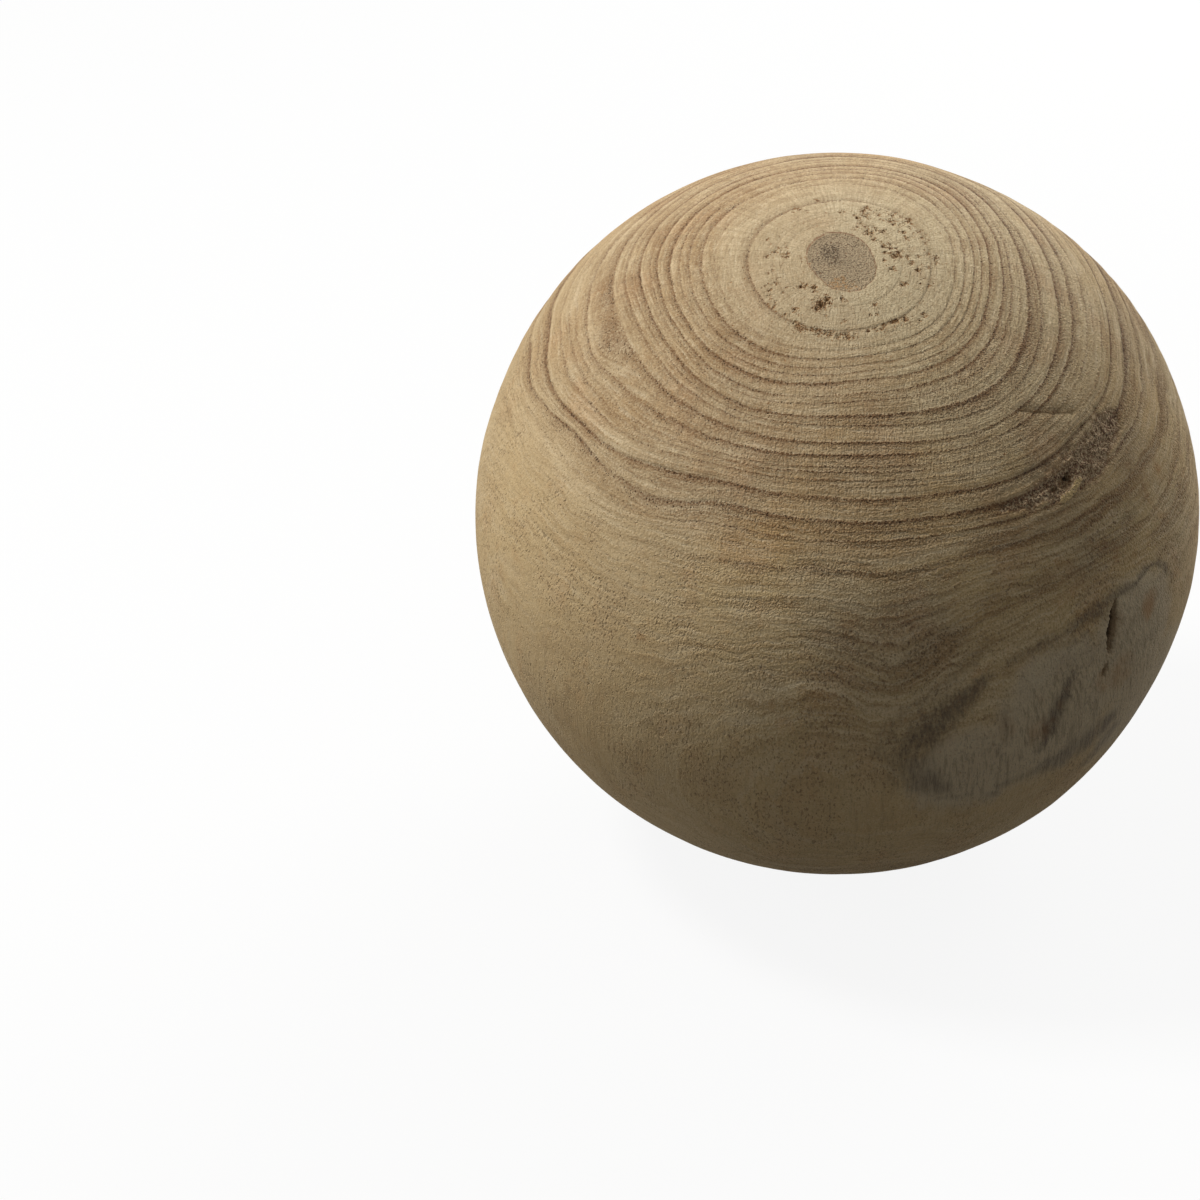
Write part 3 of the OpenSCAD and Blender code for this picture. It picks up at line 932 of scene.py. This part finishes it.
def torn_wood(tree, wood):
    """Splinters and crumbs in the torn pores, in the knot and along the chip, whose pale face is
    partly a painted highlight.
    """
    for name, size, measure in (("crumbled", 2.6, "crumbs"), ("rough_knot", 1.6, "knot"),
                                ("torn_knot", 3.0, "knot"), ("pale_knot", -3.0, "knot")):
        wood[name] = put(tree, "Math", (wood["rough"], size, wood[measure]),
                         operation="MULTIPLY_ADD")
    wood["hollows"] = put(tree, "MapRange", (wood["crumbled"], 0.4, 1.4))
    wood["knot_floor"] = put(tree, "Math", (wood["rough"], wood["knot"]), operation="MULTIPLY")
    # Where the chip stands up it is painted pale: partly pale torn wood, partly a painted highlight
    splintered = put(tree, "MapRange", (wood["splinters"], 0.35, 0.65, 0.5, 1.4))
    wood["chip"] = put(tree, "Math", (wood["cavity"], splintered), operation="MULTIPLY")


def spongy_pith(tree, wood):
    """The pith's coarse grains, its dark pits, its rim and the fibres torn from it."""
    in_pith = put(tree, "MapRange", (wood["pith_reach"], 1.0, 0.96))
    rim = put(tree, "Math", (wood["pith_reach"], 1.0), operation="SUBTRACT")
    rim = put(tree, "Math", (rim,), operation="ABSOLUTE")
    wood["rim"] = put(tree, "Math", (wood["fuzz"], -0.10, rim), operation="MULTIPLY_ADD")
    dirty = put(tree, "Math", (wood["rough"], 3.6, wood["dirt_and_shade"]), operation="MULTIPLY_ADD")
    wood["pith_dirt"] = put(tree, "Math", (dirty, in_pith), operation="MULTIPLY")
    wood["pith_grains"] = put(tree, "Math", (wood["grit"], in_pith), operation="MULTIPLY")
    fibres = put(tree, "Math", (wood["rough"], 4.0, wood["rust"]), operation="MULTIPLY_ADD")
    wood["pith_fibres"] = put(tree, "Math", (fibres, wood["end_grain"]), operation="MULTIPLY")


def chatter(tree, wood):
    """Ledges that sanding tore below the rings, and how broken the surface is there."""
    below = put(tree, "MapRange", (wood["growth"], *TORN_FROM))
    above = put(tree, "MapRange", (wood["growth"], *TORN_UNTIL))
    torn = put(tree, "Math", (below, above), operation="MULTIPLY")
    not_left = put(tree, "Math", (1.0, wood["left"]), operation="SUBTRACT")
    torn = put(tree, "Math", (torn, not_left), operation="MULTIPLY")
    outer = put(tree, "MapRange", (wood["growth"], *LEDGES_FROM))
    outer = put(tree, "Math", (torn, outer), operation="MULTIPLY")
    ledges = put(tree, "MapRange", (wood["ledges"], 0.49, 0.6), **SOFTLY)
    wood["ledges"] = put(tree, "Math", (ledges, outer), operation="MULTIPLY")
    ragged_lines = put(tree, "Math", (wood["lines"], torn), operation="MULTIPLY")
    broken = put(tree, "Math", (ragged_lines, 1.2, wood["ledges"]), operation="MULTIPLY_ADD")
    wood["broken"] = put(tree, "Math", (wood["end_grain"], 0.12, broken), operation="MULTIPLY_ADD")


def lay_coats(tree, wood):
    colour = linear(BARE_WOOD)
    for name, start, full, most, coat in COATS:
        share = put(tree, "MapRange", (wood[name], start, full, 0, most), **SOFTLY)
        colour = put(tree, "Mix", {0: share, 6: colour, 7: linear(coat)}, 2, data_type="RGBA")
    return colour


def raise_grain(tree, wood):
    """Relief in mm: a fine roughness, calmer where the wood is worn and coarser where it is torn."""
    fine = 0.0
    for name, size in FINE_RELIEF:
        fine = put(tree, "Math", (wood[name], size, fine), operation="MULTIPLY_ADD")
    rougher = put(tree, "Math", (fine, wood["broken"]), operation="MULTIPLY")
    calm = put(tree, "Math", (wood["worn"], -WORN_LESS, PLAIN), operation="MULTIPLY_ADD")
    calm = put(tree, "Math", (wood["grey"], GREY_MORE, calm), operation="MULTIPLY_ADD")
    relief = put(tree, "Math", (fine, calm), operation="MULTIPLY")
    relief = put(tree, "Math", (rougher, BROKEN_MORE, relief), operation="MULTIPLY_ADD")
    for name, size in RELIEF:
        relief = put(tree, "Math", (wood[name], size, relief), operation="MULTIPLY_ADD")
    return put(tree, "Bump", {"Height": relief, "Distance": MM, "Strength": 1.0})


def new_material(name):
    material = bpy.data.materials.new(name)
    material.use_nodes = True
    material.node_tree.nodes.clear()
    return material


def sanded_paulownia():
    """Natural paulownia, turned and sanded but not sealed.

    A dull, pale tan wood with dark lines of open pores at each ring, dots of them on the end
    grain, short dashes of them on the flanks, and no gloss.
    """
    material = new_material("sanded_paulownia")
    tree = material.node_tree
    wood = {name: put(tree, "Attribute", out="Fac", attribute_name=name) for name in MEASURES}
    for grow in (solid_grain, lie_of_the_grain, ring_grain, ring_lines, open_vessels,
                 rays_and_scratches, soak_in_stains_and_shade, torn_wood, spongy_pith, chatter):
        grow(tree, wood)
    shader = put(tree, "BsdfPrincipled", {"Base Color": lay_coats(tree, wood), "Roughness": 0.82,
                                          "IOR": 1.45, "Specular IOR Level": 0.3,
                                          "Normal": raise_grain(tree, wood)})
    put(tree, "OutputMaterial", {"Surface": shader})
    return material


# ---------------------------------------------------------------- floor, lamps and camera

# The camera's distance in ball radii and its height, and how far it looks down and to the left
CAMERA_REACH, CAMERA_RISE = 9.3, 28.5
CAMERA_PITCH, CAMERA_YAW = 30.044, 4.577
LENS, FILM = 100, 36
# Turn from the front, height, distance and size in metres, and watts
LAMPS = {
    "left_lamp": (-87, 55, 1.1, 0.25, 8.0),
    "low_lamp": (-89, 12, 1.1, 0.5, 2.2),
    "back_lamp": (151, 28, 1.1, 0.7, 7.8),
}
SKY_LIGHT = 0.22
FLOOR_R, CARD, CARD_GLOW = 6, "#515150", 0.9
WHITE = "#ffffff"


def seen_strength(tree, lighting, seen):
    """One strength for light on the ball, and another for what the camera and gloss see."""
    sight = 0.0
    for ray in ("Is Camera Ray", "Is Glossy Ray", "Is Transmission Ray"):
        sight = put(tree, "Math", (put(tree, "LightPath", out=ray), sight), operation="MAXIMUM")
    return put(tree, "MapRange", (sight, 0, 1, lighting, seen))


def studio_white():
    """Matt white card. To the camera it glows up to white where the lamps don't quite reach white."""
    material = new_material("studio_white")
    tree = material.node_tree
    card = put(tree, "BsdfDiffuse", {"Color": linear(CARD)})
    glow = put(tree, "Emission", {"Color": linear(WHITE),
                                  "Strength": seen_strength(tree, 0, CARD_GLOW)})
    both = put(tree, "AddShader", (card, glow))
    put(tree, "OutputMaterial", {"Surface": both})
    return material


def floor():
    bm = bmesh.new()
    bmesh.ops.create_circle(bm, cap_ends=True, segments=64, radius=FLOOR_R)
    bmesh.ops.translate(bm, verts=bm.verts, vec=(0, 0, ball_low.z))
    obj = add_mesh("floor", bm)
    obj.data.materials.append(studio_white())


def world():
    """White to the camera, and a weak even light on the ball."""
    sky = bpy.data.worlds.new("studio")
    bpy.context.scene.world = sky
    sky.use_nodes = True
    tree = sky.node_tree
    tree.nodes.clear()
    light = put(tree, "Background", {"Color": linear(WHITE),
                                     "Strength": seen_strength(tree, SKY_LIGHT, 1)})
    put(tree, "OutputWorld", {"Surface": light})


def lamp(name, turn, height, away, size, watts):
    """A soft square white lamp that faces the ball."""
    data = bpy.data.lights.new(name, "AREA")
    data.size = size
    data.energy = watts
    data.color = linear(WHITE)[:3]
    obj = add_object(name, data)
    obj.location = side(turn, height) * away
    obj.rotation_euler = (-obj.location).to_track_quat("-Z", "Y").to_euler()


def camera():
    data = bpy.data.cameras.new("camera")
    data.lens = LENS
    data.sensor_width = FILM
    data.clip_start = 0.01
    obj = add_object("camera", data)
    obj.location = side(0, CAMERA_RISE) * CAMERA_REACH * BALL_R * MM
    obj.rotation_euler = (radians(90 - CAMERA_PITCH), 0, radians(CAMERA_YAW))
    bpy.context.scene.camera = obj


camera()
floor()
world()
for name, placing in LAMPS.items():
    lamp(name, *placing)

ball = wooden_ball()
ball.data.materials.append(sanded_paulownia())
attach(ball, "root")
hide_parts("ball")

bpy.context.scene.view_settings.view_transform = "Standard"
